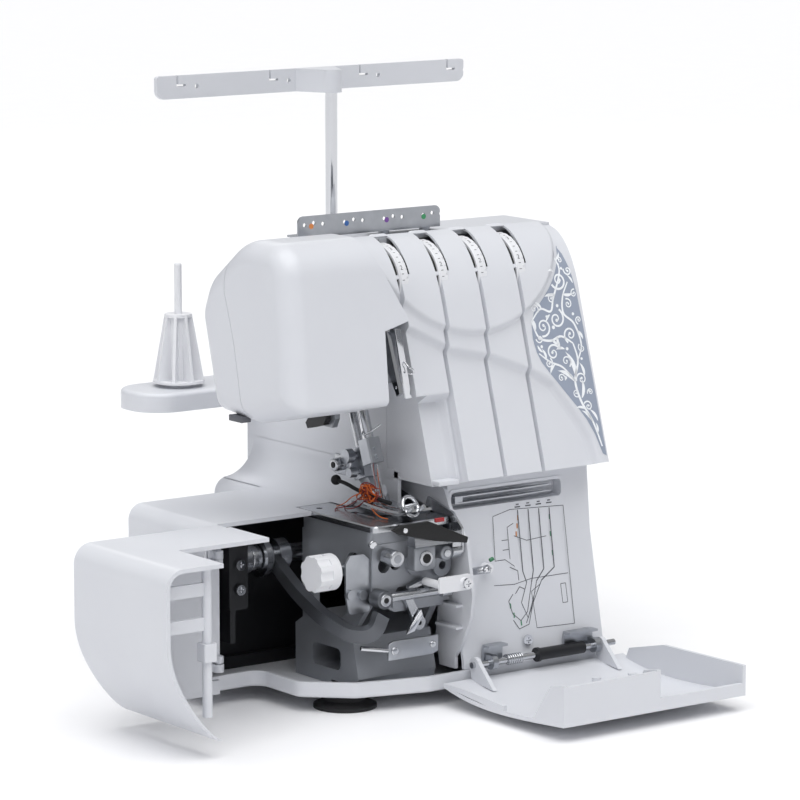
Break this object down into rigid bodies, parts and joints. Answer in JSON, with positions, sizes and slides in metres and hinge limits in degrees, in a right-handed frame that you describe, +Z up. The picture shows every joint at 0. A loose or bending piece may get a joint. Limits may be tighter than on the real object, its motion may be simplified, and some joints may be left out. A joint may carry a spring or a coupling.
{
  "type": "serger overlock machine",
  "caption": "Free-arm serger overlock sewing machine with its side door and looper cover open, thread antenna raised and spool stand at the back.",
  "frame": {"origin": "on the table, under the middle of the machine's bounding box with both covers open", "axes": "+X to the machine's right (handwheel side), +Y to its back (spool stand), +Z up"},
  "size_m": [0.428, 0.364, 0.383],
  "materials": {
    "casing": "moulded ABS, fine satin texture",
    "rubber": "moulded rubber",
    "casting": "die-cast, dark",
    "black_plate": "black, semi-matt",
    "steel": "brushed",
    "chrome": "polished",
    "zinc": "galvanised sheet",
    "bronze": "sintered bronze",
    "white_control": "moulded",
    "dark_plastic": "moulded",
    "lamp_cover": "frosted"
  },
  "bodies": {
    "machine": {"antenna_tube": "dark_plastic", "arm_casting": "casting", "base_tray": "casing", "bed_casing": "casing", "bushes": "bronze", "casing_screws": "chrome", "cone_holders": "white_control", "diagram_panel": "casing", "drive_belt": "rubber", "frame_casting": "casting", "head_casing": "casing", "head_front_cover": "casing", "hinge_brackets": "zinc", "hinge_rod": "chrome", "inner_wall": "black_plate", "looper_surround": "casing", "looper_thread_guides": "white_control", "lower_knife": "steel", "motor": "black_plate", "needle_plate": "steel", "pillar_casing": "casing", "power_inlet": "dark_plastic", "rubber_feet": "rubber", "sewing_lamp": "lamp_cover", "spool_pins": "white_control", "spool_stand": "casing", "tension_panel": "casing", "tension_spindles": "zinc", "thread_guide_plate": "zinc"},
    "looper_cover_carriage": {"hinge_sleeve": "black_plate"},
    "looper_cover": {"looper_cover": "casing"},
    "side_door": {"side_door": "casing"},
    "main_shaft": {"main_shaft": "steel", "handwheel": "white_control"},
    "motor_pulley": {"motor_pulley": "zinc"},
    "rocker": {"rocker_shaft": "steel", "take_up_lever": "chrome"},
    "tension_dial_1": {"tension_dial_1": "white_control"},
    "tension_dial_2": {"tension_dial_2": "white_control"},
    "tension_dial_3": {"tension_dial_3": "white_control"},
    "tension_dial_4": {"tension_dial_4": "white_control"},
    "needle_bar": {"needle_bar": "chrome", "needle_clamp": "steel", "needles": "chrome"},
    "presser_bar": {"presser_bar": "steel", "foot_holder": "steel"},
    "presser_foot": {"presser_foot": "chrome"},
    "presser_lifter": {"presser_lifter": "dark_plastic"},
    "lower_looper": {"lower_looper": "steel"},
    "upper_looper": {"upper_looper": "steel"},
    "upper_knife": {"upper_knife": "steel"},
    "knife_shaft": {"knife_shaft": "steel"},
    "knife_knob": {"knife_knob": "white_control"},
    "feed_dog": {"feed_dog": "steel"},
    "antenna_pole": {"antenna_pole": "chrome"},
    "antenna_bar": {"antenna_bar": "casing"},
    "stitch_length_dial": {"stitch_length_dial": "white_control"},
    "feed_ratio_dial": {"feed_ratio_dial": "white_control"},
    "power_switch": {"power_switch": "dark_plastic"},
    "tweezers": {"tweezers": "steel"}
  },
  "joints": [
    {"name": "looper_cover_slide", "type": "slide", "parent": "machine", "child": "looper_cover_carriage", "axis": [1, 0, 0], "range_m": [0, 0.007], "stiffness_N_per_m": 60},
    {"name": "looper_cover_hinge", "type": "hinge", "parent": "looper_cover_carriage", "child": "looper_cover", "pos_m": [0.083, -0.064, 0.0245], "axis": [1, 0, 0], "range_deg": [-90, 0]},
    {"name": "side_door_hinge", "type": "hinge", "parent": "machine", "child": "side_door", "pos_m": [-0.112, 0.009, 0.06], "axis": [0, 0, 1], "range_deg": [0, 90]},
    {"name": "handwheel_spin", "type": "hinge", "parent": "machine", "child": "main_shaft", "pos_m": [0.142, 0.04, 0.088], "axis": [1, 0, 0], "continuous": true},
    {"name": "motor_spin", "type": "hinge", "parent": "machine", "child": "motor_pulley", "pos_m": [0.112, 0.112, 0.062], "axis": [1, 0, 0], "continuous": true},
    {"name": "rocker_swing", "type": "hinge", "parent": "machine", "child": "rocker", "pos_m": [-0.04, -0.004, 0.216], "axis": [1, 0, 0], "range_deg": [-6, 10]},
    {"name": "tension_dial_1_turn", "type": "hinge", "parent": "machine", "child": "tension_dial_1", "pos_m": [0.0046, -0.003, 0.262], "axis": [1, 0, 0], "range_deg": [-150, 150]},
    {"name": "tension_dial_2_turn", "type": "hinge", "parent": "machine", "child": "tension_dial_2", "pos_m": [0.0353, -0.003, 0.262], "axis": [1, 0, 0], "range_deg": [-150, 150]},
    {"name": "tension_dial_3_turn", "type": "hinge", "parent": "machine", "child": "tension_dial_3", "pos_m": [0.066, -0.003, 0.262], "axis": [1, 0, 0], "range_deg": [-150, 150]},
    {"name": "tension_dial_4_turn", "type": "hinge", "parent": "machine", "child": "tension_dial_4", "pos_m": [0.0967, -0.003, 0.262], "axis": [1, 0, 0], "range_deg": [-150, 150]},
    {"name": "needle_bar_stroke", "type": "slide", "parent": "machine", "child": "needle_bar", "axis": [0, 0.342, 0.9397], "range_m": [-0.006, 0.022]},
    {"name": "presser_bar_lift", "type": "slide", "parent": "machine", "child": "presser_bar", "axis": [0, 0.342, 0.9397], "range_m": [-0.0021, 0.0051]},
    {"name": "presser_foot_tilt", "type": "hinge", "parent": "presser_bar", "child": "presser_foot", "pos_m": [-0.002, -0.004, 0.131], "axis": [1, 0, 0], "range_deg": [-6, 3]},
    {"name": "presser_lifter_turn", "type": "hinge", "parent": "machine", "child": "presser_lifter", "pos_m": [-0.024, 0.02, 0.177], "axis": [1, 0, 0], "range_deg": [-15, 36]},
    {"name": "lower_looper_swing", "type": "hinge", "parent": "machine", "child": "lower_looper", "pos_m": [-0.002, -0.052, 0.054], "axis": [0, 1, 0], "range_deg": [-8, 8]},
    {"name": "upper_looper_swing", "type": "hinge", "parent": "machine", "child": "upper_looper", "pos_m": [-0.004, -0.034, 0.066], "axis": [0, 1, 0], "range_deg": [-6, 6]},
    {"name": "upper_knife_swing", "type": "hinge", "parent": "machine", "child": "upper_knife", "pos_m": [0.02, -0.056, 0.098], "axis": [1, 0, 0], "range_deg": [-4, 4]},
    {"name": "knife_shaft_pull", "type": "slide", "parent": "machine", "child": "knife_shaft", "axis": [1, 0, 0], "range_m": [-0.004, 0], "stiffness_N_per_m": 200},
    {"name": "knife_knob_turn", "type": "hinge", "parent": "knife_shaft", "child": "knife_knob", "pos_m": [-0.066, -0.037, 0.091], "axis": [1, 0, 0], "range_deg": [0, 90]},
    {"name": "feed_dog_stroke", "type": "slide", "parent": "machine", "child": "feed_dog", "axis": [0, 1, 0], "range_m": [-0.0015, 0.0015]},
    {"name": "antenna_pole_slide", "type": "slide", "parent": "machine", "child": "antenna_pole", "axis": [0, 0, 1], "range_m": [-0.06, 0]},
    {"name": "antenna_bar_turn", "type": "hinge", "parent": "antenna_pole", "child": "antenna_bar", "pos_m": [0.068, 0.14, 0.372], "axis": [0, 0, 1], "range_deg": [-90, 90]},
    {"name": "stitch_length_turn", "type": "hinge", "parent": "machine", "child": "stitch_length_dial", "pos_m": [0.142, 0.108, 0.11], "axis": [1, 0, 0], "range_deg": [-135, 135]},
    {"name": "feed_ratio_turn", "type": "hinge", "parent": "machine", "child": "feed_ratio_dial", "pos_m": [0.142, 0.108, 0.06], "axis": [1, 0, 0], "range_deg": [-135, 135]},
    {"name": "power_switch_rock", "type": "hinge", "parent": "machine", "child": "power_switch", "pos_m": [0.14, 0.02, 0.042], "axis": [0, 1, 0], "range_deg": [-8, 0]},
    {"name": "tweezers_pull", "type": "slide", "parent": "machine", "child": "tweezers", "axis": [0, -1, 0], "range_m": [0, 0.03]}
  ],
  "couplings": [
    {"joint": "motor_spin", "follows": "handwheel_spin", "ratio": 3.75},
    {"joint": "presser_lifter_turn", "follows": "presser_bar_lift", "rad_per_m": 116.28}
  ]
}
